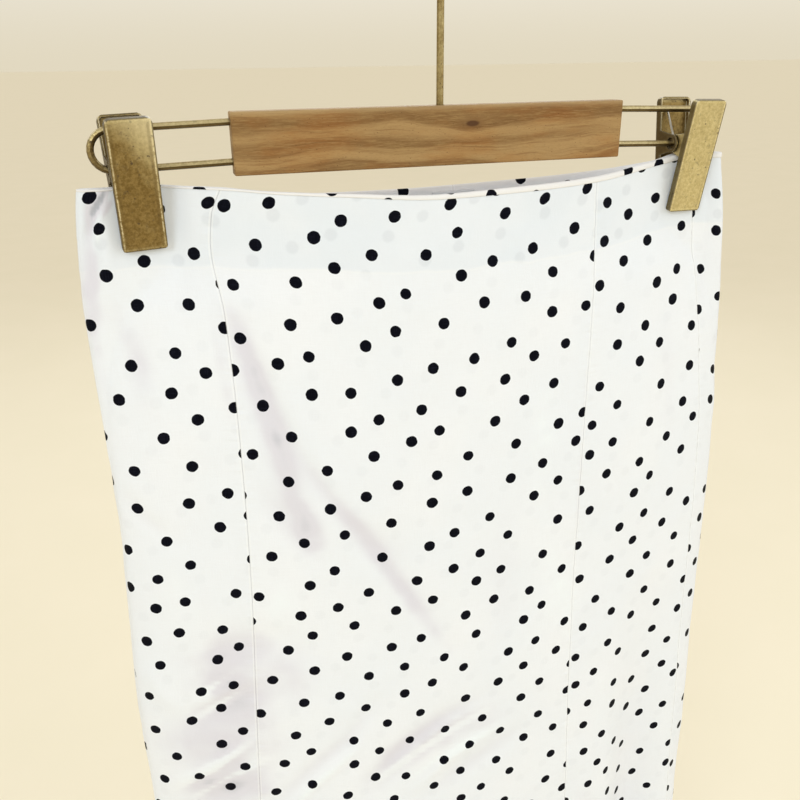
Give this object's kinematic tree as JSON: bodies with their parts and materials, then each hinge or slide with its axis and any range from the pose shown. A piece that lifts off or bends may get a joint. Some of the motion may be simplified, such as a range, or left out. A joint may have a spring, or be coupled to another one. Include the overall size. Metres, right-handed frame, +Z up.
{
  "type": "mermaid skirt on a clip hanger",
  "caption": "Long fitted mermaid skirt in dotted cloth, flared below the knee, with a faced waist and a concealed zip, hung by its waist from a wooden clip hanger.",
  "frame": {"origin": "inner top of the hanger's hook, where a rail carries it", "axes": "+X along the hanger's bar to the viewer's right, +Y away from the viewer (out of the back of the skirt), +Z up"},
  "size_m": [0.5319, 0.2754, 0.8921],
  "materials": {
    "dotted_cloth": "off-white weave with small near-black dots",
    "zip_tape": "woven tape",
    "wood": "oiled, light brown",
    "antique_brass": "aged, with worn edges",
    "bright_steel": "bright"
  },
  "bodies": {
    "skirt_and_hanger": {"front_centre": "dotted_cloth", "front_side_left": "dotted_cloth", "front_side_right": "dotted_cloth", "back_side_left": "dotted_cloth", "back_side_right": "dotted_cloth", "back_centre_left": "dotted_cloth", "back_centre_right": "dotted_cloth", "facing_front": "dotted_cloth", "facing_back_left": "dotted_cloth", "facing_back_right": "dotted_cloth", "zip_tape": "zip_tape", "zip_slider": "bright_steel", "bar": "wood", "wire_loop_left": "antique_brass", "wire_loop_right": "antique_brass", "hook": "antique_brass", "clip_left_front_plate": "antique_brass", "clip_left_back_plate": "antique_brass", "clip_left_spring": "bright_steel", "clip_right_front_plate": "antique_brass", "clip_right_back_plate": "antique_brass", "clip_right_spring": "bright_steel"},
    "zip_pull": {"zip_pull": "bright_steel"}
  },
  "joints": [
    {"name": "zip_pull", "type": "hinge", "parent": "skirt_and_hanger", "child": "zip_pull", "pos_m": [0.01558, 0.02631, -0.14723], "axis": [0.9977, -0.0482, 0.0479], "range_deg": [0, 170]}
  ]
}
